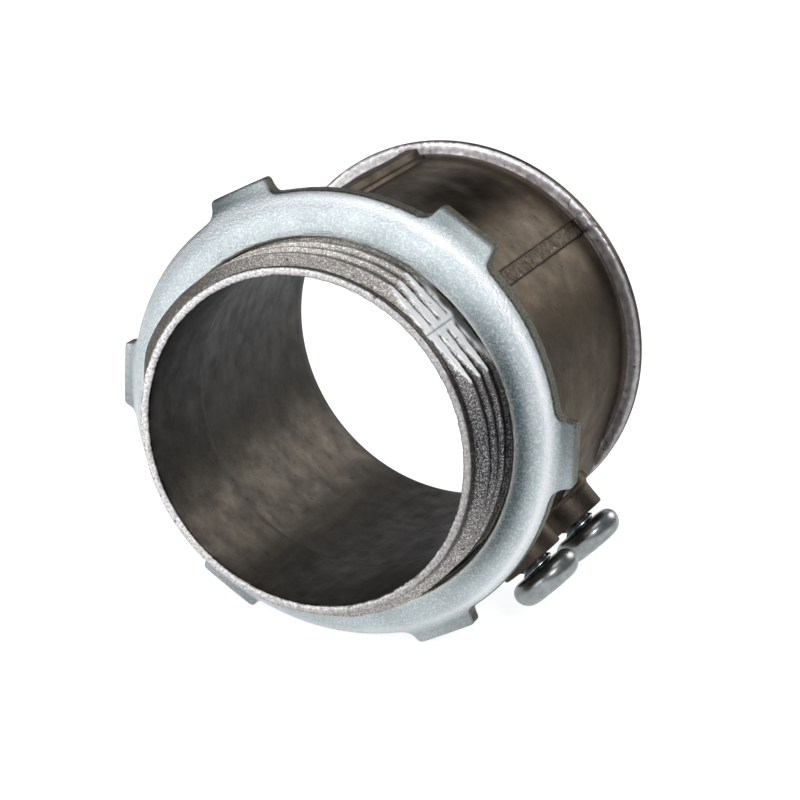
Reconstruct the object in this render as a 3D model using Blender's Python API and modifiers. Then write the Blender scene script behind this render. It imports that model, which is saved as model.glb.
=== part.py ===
"""Set-screw conduit connector, 1-1/4 inch trade size, with its locknut and its two set screws.

The conduit axis is level and runs along +Y, from the threaded spigot at the front to the conduit
socket at the back. +Z is up and the set screws look down to the right. The origin is on the surface
that the connector lies on, under the middle of its length. Lengths are in metres.

AXIAL places are measured from the spigot's end face, and angles round the conduit axis from +X
towards +Z.
"""

import math

import bmesh
import bpy
from mathutils import Vector

# Conduit thread: 1-1/4 - 11.5 NPSM. Its first turn starts opposite +X.
THREAD_MAJOR_RADIUS = 0.0205
THREAD_SUNK_RADIUS = 0.0190
THREAD_PITCH = 0.0254 / 11.5
THREAD_CREST_WIDTH = 0.00035
THREAD_FLANK_ANGLE = math.radians(30)
THREAD_START_ANGLE = math.pi
THREAD_FIRST_AXIAL = 0.00112
THREAD_LAST_AXIAL = 0.0120
THREAD_FLAT_DISTANCE = 0.01945

# Connector body.
BODY_LENGTH = 0.0432
SPIGOT_RADIUS = 0.0193
NECK_RADIUS = 0.0203
NECK_AXIAL = 0.0125
NECK_TAPER = 0.0008
THROAT_RADIUS = 0.01835
STOP_AXIAL = 0.0131
SOCKET_STOP_RADIUS = 0.01935
SOCKET_END_RADIUS = 0.0200
SOCKET_MOUTH_RADIUS = 0.0206
SOCKET_MOUTH_LENGTH = 0.0008
SHOULDER_AXIAL = 0.0143
SHOULDER_RADIUS = 0.0233
SHOULDER_THICKNESS = 0.0010
SHOULDER_FILLET = 0.0008
BARREL_RADIUS = 0.02115
FLANGE_RADIUS = 0.02306
FLANGE_THICKNESS = 0.0013
FLANGE_FILLET = 0.0007
EDGE_BREAK = 0.0002

# Features round the barrel.
SCREW_ANGLE = math.radians(-43.5)
PARTING_ANGLES = (SCREW_ANGLE + math.pi / 2, SCREW_ANGLE - math.pi / 2)
PARTING_STRIP_WIDTH = 0.0019
PARTING_STRIP_HEIGHT = 0.00025
BACK_RIB_ANGLES = (SCREW_ANGLE + math.radians(150), SCREW_ANGLE + math.radians(210))
BACK_RIB_WIDTH = 0.0030
BACK_RIB_HEIGHT = 0.0013
SADDLE_HALF_ANGLE = math.radians(29)
SADDLE_TOP_RADIUS = 0.0229
WALL_MIDDLE_RADIUS = 0.0203

# Screw bosses and set screws, No. 8 - 32.
SCREW_AXIALS = {"set_screw_front": 0.0221, "set_screw_rear": 0.0356}
BOSS_RADIUS = 0.0039
BOSS_TOP_RADIUS = 0.0259
SCREW_SHANK_RADIUS = 0.00208
SCREW_HOLE_RADIUS = 0.00238
SCREW_TIP_RADIUS = 0.0197
SCREW_SEAT_GAP = 0.0009
SCREW_POINT_LENGTH = 0.0006
SCREW_HEAD_RADIUS = 0.00425
SCREW_HEAD_HEIGHT = 0.0031
SCREW_HEAD_ROUNDING = 0.0014
SCREW_SLOT_WIDTH = 0.0011
SCREW_SLOT_DEPTH = 0.0012
SCREW_SLOT_LENGTH = 0.0054
SCREW_CROSS_LENGTH = 0.0042

# Locknut, stamped from sheet and dished towards the box wall. Its lugs carry the dish's slope on.
NUT_BORE_RADIUS = 0.02085
NUT_FACE_RADIUS = 0.0213
NUT_FACE_AXIAL = 0.0071
NUT_BORE_AXIAL = 0.0078
NUT_RIM_AXIAL = 0.00945
NUT_RADIUS = 0.02525
NUT_THICKNESS = 0.0019
LUG_COUNT = 6
LUG_TIP_RADIUS = 0.02687
LUG_TIP_AXIAL = 0.0103
LUG_WIDTH = 0.0074
LUG_LENGTH = 0.0026

# Frame: the lowest corners of the two lower lugs touch the surface.
LUG_LOWEST_ANGLE = math.radians(30)
AXIS_HEIGHT = LUG_TIP_RADIUS * math.cos(LUG_LOWEST_ANGLE) + LUG_WIDTH / 2 * math.sin(LUG_LOWEST_ANGLE)
FRONT_Y = -BODY_LENGTH / 2

SEGMENTS = 64
THREAD_SEGMENTS = 40
SCREW_SEGMENTS = 24
MERGE_DISTANCE = 0.00001


def clear_scene():
    for obj in list(bpy.data.objects):
        bpy.data.objects.remove(obj, do_unlink=True)


def new_collection(name):
    collection = bpy.data.collections.new(name)
    bpy.context.scene.collection.children.link(collection)
    return collection


def metal(name, colour, roughness):
    material = bpy.data.materials.new(name)
    material.use_nodes = True
    shader = material.node_tree.nodes["Principled BSDF"]
    shader.inputs["Base Color"].default_value = (*colour, 1)
    shader.inputs["Metallic"].default_value = 1.0
    shader.inputs["Roughness"].default_value = roughness
    return material


def add_object(name, mesh, collection, material=None):
    obj = bpy.data.objects.new(name, mesh)
    collection.objects.link(obj)
    if material:
        mesh.materials.append(material)
    return obj


def hide_helper(obj):
    obj.hide_render = True
    obj.display_type = "WIRE"


def axis_point(axial):
    """The point of the conduit axis at this axial place."""
    return Vector((0, FRONT_Y + axial, AXIS_HEIGHT))


def outward(angle):
    """The unit vector that points away from the conduit axis at this angle."""
    return Vector((math.cos(angle), 0, math.sin(angle)))


def outline_mesh(name, points):
    """A closed outline in the XZ plane, for a Screw modifier to turn about Z."""
    mesh = bpy.data.meshes.new(name)
    edges = [(i, (i + 1) % len(points)) for i in range(len(points))]
    mesh.from_pydata([(radius, 0, height) for radius, height in points], edges, [])
    return mesh


def add_turning(obj, segments, angle=2 * math.pi, rise=0.0):
    turning = obj.modifiers.new("turning", "SCREW")
    turning.angle = angle
    turning.screw_offset = rise
    turning.steps = segments
    turning.render_steps = segments
    turning.use_merge_vertices = rise == 0
    turning.merge_threshold = MERGE_DISTANCE
    turning.use_smooth_shade = True
    return turning


def add_boolean(obj, other, operation):
    boolean = obj.modifiers.new(other.name, "BOOLEAN")
    boolean.operation = operation
    boolean.object = other
    boolean.solver = "EXACT"
    hide_helper(other)


def box_mesh(name, size, centre=(0, 0, 0)):
    mesh = bpy.data.meshes.new(name)
    cube = bmesh.new()
    bmesh.ops.create_cube(cube, size=1)
    bmesh.ops.scale(cube, vec=size, verts=cube.verts)
    bmesh.ops.translate(cube, vec=centre, verts=cube.verts)
    cube.to_mesh(mesh)
    cube.free()
    return mesh


def place_radially(obj, angle, axial):
    """Turns local X to point outward, and local Y along the conduit axis, from the axis at axial."""
    obj.location = axis_point(axial)
    obj.rotation_euler = (0, -angle, 0)


def radial_box(name, collection, angle, radii, axials, width):
    """A block from one radius to another, between two axial places."""
    length = axials[1] - axials[0]
    middle = ((radii[0] + radii[1]) / 2, length / 2, 0)
    mesh = box_mesh(name, (radii[1] - radii[0], length, width), middle)
    obj = add_object(name, mesh, collection)
    place_radially(obj, angle, axials[0])
    return obj


def radial_cylinder(name, collection, angle, axial, radius, span, segments):
    """A cylinder that points outward, from one distance off the conduit axis to another."""
    mesh = bpy.data.meshes.new(name)
    cylinder = bmesh.new()
    depth = span[1] - span[0]
    bmesh.ops.create_cone(
        cylinder, cap_ends=True, segments=segments, radius1=radius, radius2=radius, depth=depth
    )
    cylinder.to_mesh(mesh)
    cylinder.free()
    obj = add_object(name, mesh, collection)
    obj.location = axis_point(axial) + outward(angle) * (span[0] + span[1]) / 2
    obj.rotation_euler = (0, math.pi / 2 - angle, 0)
    return obj


def body_profile():
    """The wall of the connector, down its outer side from the flange and up the bore."""
    flange_front = BODY_LENGTH - FLANGE_THICKNESS
    shoulder_back = SHOULDER_AXIAL + SHOULDER_THICKNESS
    outer = [
        (FLANGE_RADIUS - EDGE_BREAK, BODY_LENGTH),
        (FLANGE_RADIUS, BODY_LENGTH - EDGE_BREAK),
        (FLANGE_RADIUS, flange_front + EDGE_BREAK),
        (FLANGE_RADIUS - EDGE_BREAK, flange_front),
        (BARREL_RADIUS + FLANGE_FILLET / 3, flange_front),
        (BARREL_RADIUS, flange_front - FLANGE_FILLET),
        (BARREL_RADIUS, shoulder_back + SHOULDER_FILLET),
        (SHOULDER_RADIUS - EDGE_BREAK, shoulder_back),
        (SHOULDER_RADIUS, shoulder_back - EDGE_BREAK),
        (SHOULDER_RADIUS, SHOULDER_AXIAL),
        (NECK_RADIUS, SHOULDER_AXIAL),
        (NECK_RADIUS, NECK_AXIAL),
        (SPIGOT_RADIUS, NECK_AXIAL - NECK_TAPER),
        (SPIGOT_RADIUS, EDGE_BREAK),
        (SPIGOT_RADIUS - EDGE_BREAK, 0),
    ]
    bore = [
        (THROAT_RADIUS, 0),
        (THROAT_RADIUS, STOP_AXIAL),
        (SOCKET_STOP_RADIUS, STOP_AXIAL),
        (SOCKET_END_RADIUS, BODY_LENGTH - SOCKET_MOUTH_LENGTH),
        (SOCKET_MOUTH_RADIUS, BODY_LENGTH),
    ]
    return outer + bore


def thread_ridge(collection):
    """The conduit thread's ridge, a right-hand helix whose foot is sunk in the spigot's wall."""
    crest = THREAD_CREST_WIDTH / 2
    foot = crest + (THREAD_MAJOR_RADIUS - THREAD_SUNK_RADIUS) * math.tan(THREAD_FLANK_ANGLE)
    section = [
        (THREAD_MAJOR_RADIUS, crest),
        (THREAD_MAJOR_RADIUS, -crest),
        (THREAD_SUNK_RADIUS, -foot),
        (THREAD_SUNK_RADIUS, foot),
    ]
    turns = (THREAD_LAST_AXIAL - THREAD_FIRST_AXIAL) / THREAD_PITCH
    points = [(radius, axial + THREAD_FIRST_AXIAL) for radius, axial in section]
    guide = add_object("thread_guide", outline_mesh("thread_guide", points), collection)
    steps = round(turns * THREAD_SEGMENTS)
    add_turning(guide, steps, angle=2 * math.pi * turns, rise=turns * THREAD_PITCH)
    # The modifier leaves both ends open, so the ridge is made a mesh and its ends are filled.
    graph = bpy.context.evaluated_depsgraph_get()
    mesh = bpy.data.meshes.new_from_object(guide.evaluated_get(graph))
    ridge = bmesh.new()
    ridge.from_mesh(mesh)
    bmesh.ops.holes_fill(ridge, edges=[edge for edge in ridge.edges if edge.is_boundary])
    bmesh.ops.recalc_face_normals(ridge, faces=ridge.faces)
    ridge.to_mesh(mesh)
    ridge.free()
    bpy.data.objects.remove(guide, do_unlink=True)
    obj = add_object("thread_ridge", mesh, collection)
    stand_on_axis(obj)
    obj.rotation_euler.y = -THREAD_START_ANGLE
    return obj


def stand_on_axis(obj):
    """Lays a shape turned about local Z along the conduit axis, its foot at the spigot's end."""
    obj.location = axis_point(0)
    obj.rotation_euler = (-math.pi / 2, 0, 0)


def screw_saddle(collection):
    """The fairing under the bosses, whose sides leave the barrel at a tangent."""
    side = BARREL_RADIUS / math.cos(SADDLE_HALF_ANGLE)
    half_top = (side - SADDLE_TOP_RADIUS) / math.tan(SADDLE_HALF_ANGLE)
    arc_steps = 10
    outline = [(SADDLE_TOP_RADIUS, half_top)]
    for step in range(arc_steps + 1):
        angle = SADDLE_HALF_ANGLE * (1 - 2 * step / arc_steps)
        outline.append((WALL_MIDDLE_RADIUS * math.cos(angle), WALL_MIDDLE_RADIUS * math.sin(angle)))
    outline.append((SADDLE_TOP_RADIUS, -half_top))
    start = SHOULDER_AXIAL + SHOULDER_THICKNESS / 2
    length = BODY_LENGTH - FLANGE_THICKNESS / 2 - start
    mesh = bpy.data.meshes.new("screw_saddle")
    prism = bmesh.new()
    face = prism.faces.new([prism.verts.new((x, 0, z)) for x, z in outline])
    made = bmesh.ops.extrude_face_region(prism, geom=[face])["geom"]
    moved = [item for item in made if isinstance(item, bmesh.types.BMVert)]
    bmesh.ops.translate(prism, vec=(0, length, 0), verts=moved)
    bmesh.ops.recalc_face_normals(prism, faces=prism.faces)
    prism.to_mesh(mesh)
    prism.free()
    obj = add_object("screw_saddle", mesh, collection)
    place_radially(obj, SCREW_ANGLE, start)
    return obj


def add_ribs(body, collection):
    """The raised strips on the mould's parting line, and the two ribs on the back."""
    axials = (SHOULDER_AXIAL + SHOULDER_THICKNESS / 2, BODY_LENGTH - FLANGE_THICKNESS / 2)
    kinds = (
        ("parting_strip", PARTING_ANGLES, PARTING_STRIP_HEIGHT, PARTING_STRIP_WIDTH),
        ("back_rib", BACK_RIB_ANGLES, BACK_RIB_HEIGHT, BACK_RIB_WIDTH),
    )
    for name, angles, height, width in kinds:
        for number, angle in enumerate(angles, 1):
            radii = (WALL_MIDDLE_RADIUS, BARREL_RADIUS + height)
            rib = radial_box(f"{name}_{number}", collection, angle, radii, axials, width)
            add_boolean(body, rib, "UNION")


def add_thread_flats(body, collection):
    """Cuts the thread flat on both sides of the parting line."""
    reach = THREAD_MAJOR_RADIUS * 1.5
    for number, angle in enumerate(PARTING_ANGLES, 1):
        radii = (THREAD_FLAT_DISTANCE, reach)
        axials = (-THREAD_PITCH, NECK_AXIAL)
        cutter = radial_box(f"thread_flat_{number}", collection, angle, radii, axials, 2 * reach)
        add_boolean(body, cutter, "DIFFERENCE")


def add_bosses(body, collection):
    """The round bosses that take the set screws."""
    for name, axial in SCREW_AXIALS.items():
        span = (WALL_MIDDLE_RADIUS, BOSS_TOP_RADIUS)
        label = name.replace("set_screw", "boss")
        boss = radial_cylinder(label, collection, SCREW_ANGLE, axial, BOSS_RADIUS, span, SCREW_SEGMENTS)
        add_boolean(body, boss, "UNION")


def add_screw_holes(body, collection):
    """The holes for the set screws, through the bosses and the socket's wall."""
    for name, axial in SCREW_AXIALS.items():
        span = (THROAT_RADIUS, BOSS_TOP_RADIUS + BOSS_RADIUS)
        label = name.replace("set_screw", "screw_hole")
        hole = radial_cylinder(
            label, collection, SCREW_ANGLE, axial, SCREW_HOLE_RADIUS, span, SCREW_SEGMENTS
        )
        add_boolean(body, hole, "DIFFERENCE")


def make_body(parts, helpers, material):
    body = add_object("connector_body", outline_mesh("connector_body", body_profile()), parts, material)
    stand_on_axis(body)
    add_turning(body, SEGMENTS)
    add_boolean(body, thread_ridge(helpers), "UNION")
    add_thread_flats(body, helpers)
    add_boolean(body, screw_saddle(helpers), "UNION")
    add_ribs(body, helpers)
    add_bosses(body, helpers)
    add_screw_holes(body, helpers)


def nut_profile():
    """The dished ring: down its outer rim, along the face and back through the bore."""
    slope = (NUT_RIM_AXIAL - NUT_FACE_AXIAL) / (NUT_RADIUS - NUT_FACE_RADIUS)
    return [
        (NUT_RADIUS, NUT_RIM_AXIAL + NUT_THICKNESS),
        (NUT_RADIUS, NUT_RIM_AXIAL + EDGE_BREAK),
        (NUT_RADIUS - EDGE_BREAK, NUT_RIM_AXIAL - EDGE_BREAK * slope),
        (NUT_FACE_RADIUS, NUT_FACE_AXIAL),
        (NUT_BORE_RADIUS, NUT_BORE_AXIAL),
        (NUT_BORE_RADIUS, NUT_FACE_AXIAL + NUT_THICKNESS),
    ]


def add_lug(nut, collection, number):
    """One lug of the locknut, a tab of the same sheet that leans back from the rim."""
    name = f"lug_{number}"
    angle = 2 * math.pi * number / LUG_COUNT
    size = (LUG_LENGTH, NUT_THICKNESS, LUG_WIDTH)
    mesh = box_mesh(name, size, (-LUG_LENGTH / 2, NUT_THICKNESS / 2, 0))
    slope = (LUG_TIP_AXIAL - NUT_RIM_AXIAL) / (LUG_TIP_RADIUS - NUT_RADIUS)
    for vertex in mesh.vertices:
        vertex.co.y += vertex.co.x * slope
        vertex.co.x += LUG_TIP_RADIUS
    lug = add_object(name, mesh, collection)
    place_radially(lug, angle, LUG_TIP_AXIAL)
    add_boolean(nut, lug, "UNION")


def make_locknut(parts, helpers, material):
    nut = add_object("locknut", outline_mesh("locknut", nut_profile()), parts, material)
    stand_on_axis(nut)
    add_turning(nut, SEGMENTS)
    for number in range(LUG_COUNT):
        add_lug(nut, helpers, number)


def screw_profile():
    """Half of the screw on its own axis, from the middle of its head down to its point."""
    head_bottom = BOSS_TOP_RADIUS + SCREW_SEAT_GAP
    head_top = head_bottom + SCREW_HEAD_HEIGHT
    rounding = SCREW_HEAD_ROUNDING
    arc_steps = 4
    points = [(0, head_top)]
    for corner, start in ((head_top - rounding, math.pi / 2), (head_bottom + rounding, 0)):
        for step in range(arc_steps + 1):
            angle = start - math.pi / 2 * step / arc_steps
            radius = SCREW_HEAD_RADIUS - rounding + rounding * math.cos(angle)
            points.append((radius, corner + rounding * math.sin(angle)))
    return points + [
        (SCREW_SHANK_RADIUS, head_bottom),
        (SCREW_SHANK_RADIUS, SCREW_TIP_RADIUS + SCREW_POINT_LENGTH),
        (SCREW_SHANK_RADIUS - SCREW_POINT_LENGTH, SCREW_TIP_RADIUS),
        (0, SCREW_TIP_RADIUS),
    ]


def add_recess(screw, collection):
    """The screwdriver recess: a slot that stops short of the rim, and a shorter one square to it."""
    head_top = BOSS_TOP_RADIUS + SCREW_SEAT_GAP + SCREW_HEAD_HEIGHT
    depth = 2 * SCREW_SLOT_DEPTH
    sizes = {
        "slot": (SCREW_SLOT_WIDTH, SCREW_SLOT_LENGTH, depth),
        "cross": (SCREW_CROSS_LENGTH, SCREW_SLOT_WIDTH, depth),
    }
    for kind, size in sizes.items():
        name = f"{screw.name}_{kind}"
        cutter = add_object(name, box_mesh(name, size, (0, 0, head_top)), collection)
        cutter.location = screw.location
        cutter.rotation_euler = screw.rotation_euler
        add_boolean(screw, cutter, "DIFFERENCE")


def make_set_screws(parts, helpers, material):
    for name, axial in SCREW_AXIALS.items():
        profile = screw_profile()
        mesh = bpy.data.meshes.new(name)
        mesh.from_pydata(
            [(radius, 0, height) for radius, height in profile],
            [(i, i + 1) for i in range(len(profile) - 1)],
            [],
        )
        screw = add_object(name, mesh, parts, material)
        screw.location = axis_point(axial)
        screw.rotation_euler = (0, math.pi / 2 - SCREW_ANGLE, 0)
        add_turning(screw, SCREW_SEGMENTS)
        add_recess(screw, helpers)


def shade(obj):
    obj.data.shade_smooth()
    obj.data.set_sharp_from_angle(angle=math.radians(35))


def main():
    clear_scene()
    parts = new_collection("conduit_connector")
    helpers = new_collection("cutters")
    zinc = metal("die_cast_zinc", (0.30, 0.28, 0.26), 0.42)
    plated = metal("zinc_plated_steel", (0.72, 0.75, 0.76), 0.38)
    bright = metal("bright_zinc_plating", (0.45, 0.45, 0.44), 0.22)
    make_body(parts, helpers, zinc)
    make_locknut(parts, helpers, plated)
    make_set_screws(parts, helpers, bright)
    for obj in parts.objects:
        shade(obj)


main()
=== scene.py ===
import math

import bmesh
import bpy
import numpy as np
from mathutils import Matrix, Vector


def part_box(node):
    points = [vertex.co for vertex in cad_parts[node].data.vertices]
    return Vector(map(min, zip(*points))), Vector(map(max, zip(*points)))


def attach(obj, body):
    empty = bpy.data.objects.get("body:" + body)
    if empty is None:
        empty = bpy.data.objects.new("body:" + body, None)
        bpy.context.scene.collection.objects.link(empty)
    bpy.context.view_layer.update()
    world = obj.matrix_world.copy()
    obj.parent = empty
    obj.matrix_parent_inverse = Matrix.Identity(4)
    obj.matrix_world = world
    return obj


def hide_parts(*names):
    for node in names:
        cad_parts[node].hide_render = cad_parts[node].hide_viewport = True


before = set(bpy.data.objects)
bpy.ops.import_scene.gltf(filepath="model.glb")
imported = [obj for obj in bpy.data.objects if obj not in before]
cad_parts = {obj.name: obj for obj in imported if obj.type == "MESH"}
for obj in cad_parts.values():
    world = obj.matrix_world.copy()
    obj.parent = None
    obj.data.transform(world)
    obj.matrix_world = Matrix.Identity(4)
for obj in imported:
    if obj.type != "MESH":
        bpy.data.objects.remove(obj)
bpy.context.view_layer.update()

# Shapes are worked out in millimetres and made in metres.
MM = 0.001
BODY_LOW, BODY_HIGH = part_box("connector_body")
FRONT_Y = BODY_LOW.y / MM
AXIS_HEIGHT = (BODY_LOW.z + BODY_HIGH.z) / 2 / MM

# Conduit thread. Axial places are measured from the spigot's end face. The helix is kept between
# THREAD_LOW and THREAD_HIGH, and what is thread ends at THREAD_END.
PITCH = 25.4 / 11.5
CREST_RADIUS = 20.5
ROOT_RADIUS = 19.3
CREST_HALF = 0.17
RIDGE_HALF = 0.86
THREAD_FIRST = 1.12
THREAD_TURNS = 4.92
THREAD_LOW = 0.3
THREAD_HIGH = 12.35
THREAD_END = 12.3
THREAD_SHAKE = 0.05

# The two flats of the thread where the mould halves part: how far they are from the axis, and how
# many degrees they and their filled grooves can reach on each side of the parting line.
FLAT_DISTANCE = 19.45
FLAT_SIDE = 30
FLAT_FILLED = 4

# Connector body.
BODY_LENGTH = 43.2
THROAT_RADIUS = 18.35
NECK_RADIUS = 20.3
STOP_AXIAL = 13.1
SOCKET_STOP_RADIUS = 19.35
SOCKET_END_RADIUS = 20.0
SOCKET_END_AXIAL = 42.3
SHOULDER_FRONT = 14.3
SHOULDER_BACK = 15.3
SHOULDER_RADIUS = 23.3
BARREL_RADIUS = 21.15
FLANGE_FRONT = 41.9
FLANGE_ROUND = 0.45
FLANGE_RADIUS = 23.06

# Features round the barrel. Angles are in degrees from +X towards +Z.
SCREW_ANGLE = -43.5
PARTING_ANGLES = (46.5, 226.5)
STRIP_HALF = 0.95
STRIP_SOFT = 0.07
STRIP_HEIGHT = 0.25
GUTTER_DEPTH = 0.07
RIB_ANGLES = (106.5, 166.5)
RIB_HALF = 1.5
RIB_STEP = 0.45
RIB_CROWN_HALF = 0.95
RIB_HEIGHT = 1.3
SADDLE_HALF_ANGLE = 29.0
SADDLE_TOP = 22.9
SADDLE_SOFT = 0.12

# Bosses and set screws. SCREWS holds each screw's axial place. Tops, bottoms and the tip are measured
# from the conduit axis.
SCREWS = {"set_screw_front": 22.1, "set_screw_rear": 35.6}
BOSS_RADIUS = 3.9
BOSS_TOP = 25.9
HOLE_RADIUS = 2.38
HOLE_MOUTH_RADIUS = 2.75
SHANK_RADIUS = 2.08
SHANK_PITCH = 25.4 / 32
SHANK_DEPTH = 0.42
SCREW_TIP = 19.7
TIP_CHAMFER = 0.6
HEAD_BOTTOM = 26.8
HEAD_TOP = 29.9
HEAD_RADIUS = 4.25
HEAD_UNDER_ROUND = 1.3
HEAD_CROWN_ROUND = 1.75
HEAD_DOME = 0.1
SLOT_WIDTH = 1.1
SLOT_DEPTH = 1.2
SLOT_LENGTH = 5.4
CROSS_LENGTH = 4.2

# Locknut.
NUT_BORE = 20.85
NUT_FACE = 21.3
NUT_FACE_AXIAL = 7.1
NUT_FOLD = 25.25
NUT_THICKNESS = 1.9
NUT_TIGHTER = 0.45
FOLD_CROWN = 24.55
LUG_COUNT = 6
LUG_TIP = 26.87
LUG_HALF = 3.7
# The side of a lug, from its corner to the ring: how far out past its half width, and how high.
LUG_SIDE = (
    (-0.42, 26.84), (-0.22, 26.76), (-0.09, 26.6), (-0.02, 26.35), (0.03, 26.05), (0.12, 25.72),
    (0.32, 25.36), (0.62, 25.05), (1.0, 24.87), (1.4, 24.76),
)
# How much painted shade greys each lug's face, from the lug at +X round towards +Z.
LUG_SHADES = (0.85, 0.7, 1.0, 0.6, 0.55, 0.5)

# Points of a grid that are closer than this, in metres, become one.
MERGE = 2e-6

# Camera, in degrees and metres. It looks at a place a little to the right of the middle of the
# conduit axis and a little below it.
CAMERA_AZIMUTH = 22.7007
CAMERA_ELEVATION = 19.9117
CAMERA_ROLL = 2.4382
CAMERA_DISTANCE = 0.335618
CAMERA_AIM = (0.001866, -0.001703)
CAMERA_LENS = 135

# Soft round lights: azimuth and elevation in degrees, distance and size in metres, power in watts and
# colour. Azimuth 0 is in front of the spigot, and 90 is to the right.
WHITE = (1, 1, 1)
LIGHTS = {
    "key": (-38, 50, 0.55, 0.4, 0.92, WHITE),
    "top": (30, 82, 0.55, 0.3, 0.35, WHITE),
    "front": (-18, 12, 0.9, 0.65, 3.2, WHITE),
    "right": (44, 36, 0.7, 0.22, 1.7, WHITE),
    "back": (160, 24, 0.7, 0.4, 1.3, (1.0, 0.97, 0.94)),
    "back_left": (-157, 22, 0.7, 0.3, 0.1, WHITE),
    "left": (-56, 1, 0.7, 0.3, 1.3, WHITE),
}

# The floor is a square, in metres, just under the object. The floor and the world are bright where the
# camera sees them, and dimmer as light on the object.
FLOOR_HALF = 3.0
FLOOR_DROP = 0.0002
FLOOR_PAPER = (0.35, 0.35, 0.35, 1)
FLOOR_GLOW = (0.97, 0.985, 1.0, 1)
FLOOR_GLOW_SEEN = 0.93
FLOOR_GLOW_ON_OBJECT = 0.68
WORLD_SEEN = (1, 1, 1, 1)
WORLD_ON_OBJECT = (0.9, 0.93, 1.0, 1)
WORLD_GLOW_ON_OBJECT = 0.22


# ---------------------------------------------------------------- shapes

def smooth_step(low, high, value):
    """Rises smoothly from 0 at low to 1 at high."""
    t = np.clip((value - low) / (high - low), 0, 1)
    return t * t * (3 - 2 * t)


def plateau(distance, half, soft):
    """1 inside half, 0 outside it, with a rounded edge of width soft."""
    return 1 - smooth_step(half - soft, half + soft, np.abs(distance))


def ripple(seed, place, waves=7):
    """Smooth repeatable noise, mostly between -1 and 1, about one wave for each unit of place."""
    rng = np.random.default_rng(seed)
    total = 0
    for _ in range(waves):
        phase = rng.uniform(0, 2 * math.pi)
        phase = phase + np.asarray(place) * rng.uniform(-1.4, 1.4) * 2 * math.pi
        total = total + np.sin(phase)
    return total / math.sqrt(waves)


def ring_ripple(seed, angle, most, axial=0.0):
    """Smooth noise that meets itself round the axis, with up to most waves a turn.

    Along the axis it has about one wave for each unit of axial.
    """
    rng = np.random.default_rng(seed)
    waves = 9
    total = 0
    for _ in range(waves):
        count = int(rng.integers(1, most + 1))
        phase = rng.uniform(0, 2 * math.pi) + count * np.radians(angle)
        phase = phase + np.asarray(axial) * rng.uniform(-1.4, 1.4) * 2 * math.pi
        total = total + np.sin(phase)
    return total / math.sqrt(waves)


def turned(angle):
    """An angle in degrees brought to between -180 and 180."""
    return (np.asarray(angle) + 180) % 360 - 180


def stand(radius, angle, axial):
    """Points in metres from a radius, an angle in degrees and an axial place."""
    radians = np.radians(angle)
    return np.stack(
        [radius * np.cos(radians), FRONT_Y + axial, AXIS_HEIGHT + radius * np.sin(radians)], -1
    ) * MM


def mesh_object(name, points, faces):
    """A mesh whose points that meet are merged and whose faces look outward."""
    mesh = bpy.data.meshes.new(name)
    mesh.from_pydata(points.tolist(), [], faces)
    work = bmesh.new()
    work.from_mesh(mesh)
    bmesh.ops.remove_doubles(work, verts=work.verts, dist=MERGE)
    bmesh.ops.recalc_face_normals(work, faces=work.faces)
    work.to_mesh(mesh)
    work.free()
    obj = bpy.data.objects.new(name, mesh)
    bpy.context.scene.collection.objects.link(obj)
    return obj


def grid_object(name, points, wrap_rows=False):
    """A mesh from a grid of points, rows by columns. Wrapped rows join the last row to the first."""
    rows, columns = points.shape[:2]
    index = np.arange(rows * columns).reshape(rows, columns)
    if wrap_rows:
        index = np.vstack([index, index[:1]])
    quads = np.stack([index[:-1, :-1], index[:-1, 1:], index[1:, 1:], index[1:, :-1]], -1)
    return mesh_object(name, points.reshape(-1, 3), quads.reshape(-1, 4).tolist())


def smooth(obj, angle=38):
    """Smooth shading, but for edges sharper than an angle in degrees."""
    obj.data.shade_smooth()
    obj.data.set_sharp_from_angle(angle=math.radians(angle))


def cut(obj, other, operation, solver="EXACT"):
    """Unites or subtracts another mesh, and removes it."""
    modifier = obj.modifiers.new("cut", "BOOLEAN")
    modifier.operation = operation
    modifier.object = other
    modifier.solver = solver
    graph = bpy.context.evaluated_depsgraph_get()
    mesh = bpy.data.meshes.new_from_object(obj.evaluated_get(graph))
    obj.modifiers.clear()
    obj.data = mesh
    bpy.data.objects.remove(other, do_unlink=True)


def set_mask(obj, name, values):
    """Stores a share between 0 and 1 for each vertex, for the shader to read by name."""
    layer = obj.data.attributes.new(name, "FLOAT", "POINT")
    layer.data.foreach_set("value", np.clip(values, 0, 1).astype(np.float32))


def places_of(obj):
    """Radius, angle in degrees and axial place of each vertex."""
    points = np.empty(len(obj.data.vertices) * 3)
    obj.data.vertices.foreach_get("co", points)
    x, y, z = (points.reshape(-1, 3) / MM).T
    z = z - AXIS_HEIGHT
    return np.hypot(x, z), np.degrees(np.arctan2(z, x)), y - FRONT_Y


# ---------------------------------------------------------------- connector body

def across_barrel(angle, centre):
    """Distance in mm round the barrel from a feature's centre line."""
    return np.radians(turned(angle - centre)) * BARREL_RADIUS


def body_angles():
    """Column angles from 180 down to -180, closer together at the strips, ribs and fairing."""
    angles = set(np.round(np.arange(-180, 180.01, 1.0), 3))
    strip = (0.0, 0.1, 0.3, 0.6, 0.78, 0.86, 0.92, 0.98, 1.06, 1.2)
    rib = (0.35, 0.6, 0.75, 0.85, 0.95, 1.1, 1.3, 1.4, 1.5, 1.6, 1.75)
    for centres, offsets in ((PARTING_ANGLES, strip), (RIB_ANGLES, rib)):
        for centre in centres:
            for offset in offsets:
                step = math.degrees(offset / BARREL_RADIUS)
                angles.add(round(float(turned(centre - step)), 3))
                angles.add(round(float(turned(centre + step)), 3))
    for offset in np.arange(3.5, 9, 0.5):
        angles.add(round(SCREW_ANGLE - offset, 3))
        angles.add(round(SCREW_ANGLE + offset, 3))
    kept = []
    for angle in sorted(angles, reverse=True):
        if not kept or kept[-1] - angle > 0.12:
            kept.append(float(angle))
    kept[-1] = -180.0
    return np.array(kept)


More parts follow.
